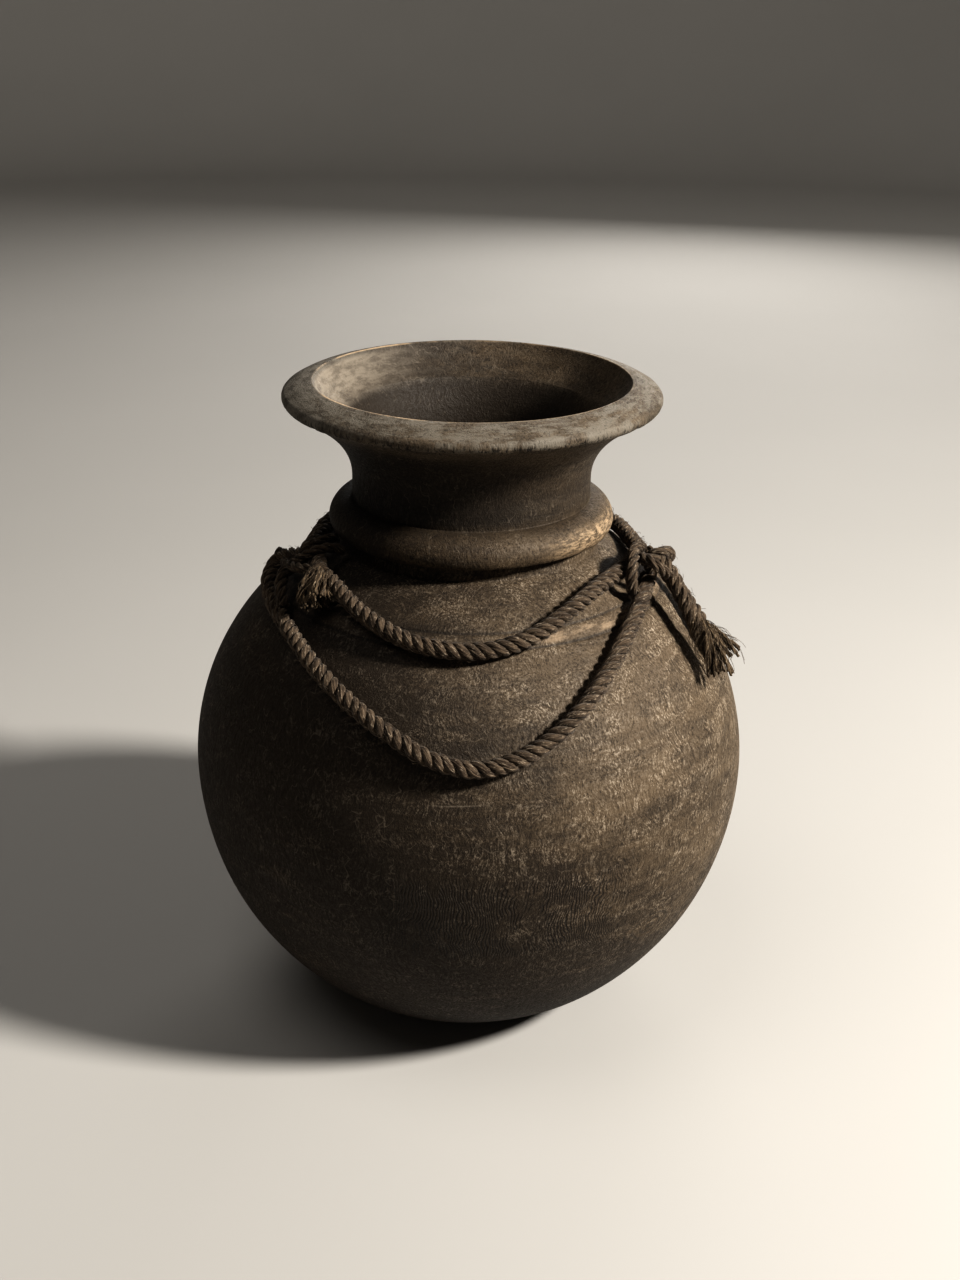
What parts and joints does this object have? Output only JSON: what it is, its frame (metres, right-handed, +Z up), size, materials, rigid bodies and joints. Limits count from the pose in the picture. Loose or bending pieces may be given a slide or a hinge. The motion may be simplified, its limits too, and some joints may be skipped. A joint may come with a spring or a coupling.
{
  "type": "turned wooden pot with rope garland",
  "caption": "Round-bodied dark turned-wood pot with a flared rim, a collar ring and a twisted rope garland tied round its neck.",
  "frame": {"origin": "centre of the flat base, on the surface the pot stands on", "axes": "+Z up along the turning axis, -Y towards the front where both rope swags hang, +X to the right seen from the front"},
  "size_m": [0.22, 0.22, 0.2557],
  "materials": {
    "dark_wood": "matte stained and waxed, worn along the edges",
    "rope": "dusty brown-grey plant-fibre rope, three strands",
    "rope_fibre": "loose frayed plant fibre"
  },
  "bodies": {
    "pot": {"vessel": "dark_wood"},
    "rope_garland": {"neck_rope": "rope", "upper_swag_rope": "rope", "lower_swag_rope": "rope", "right_tail_front": "rope", "right_tail_back": "rope", "left_stub": "rope", "right_knot": "rope", "left_knot": "rope", "right_fray_front": "rope_fibre", "right_fray_back": "rope_fibre", "left_fray": "rope_fibre"}
  },
  "joints": [
    {"name": "garland_turn", "type": "hinge", "parent": "pot", "child": "rope_garland", "pos_m": [0, 0, 0.19], "axis": [0, 0, 1], "continuous": true}
  ]
}
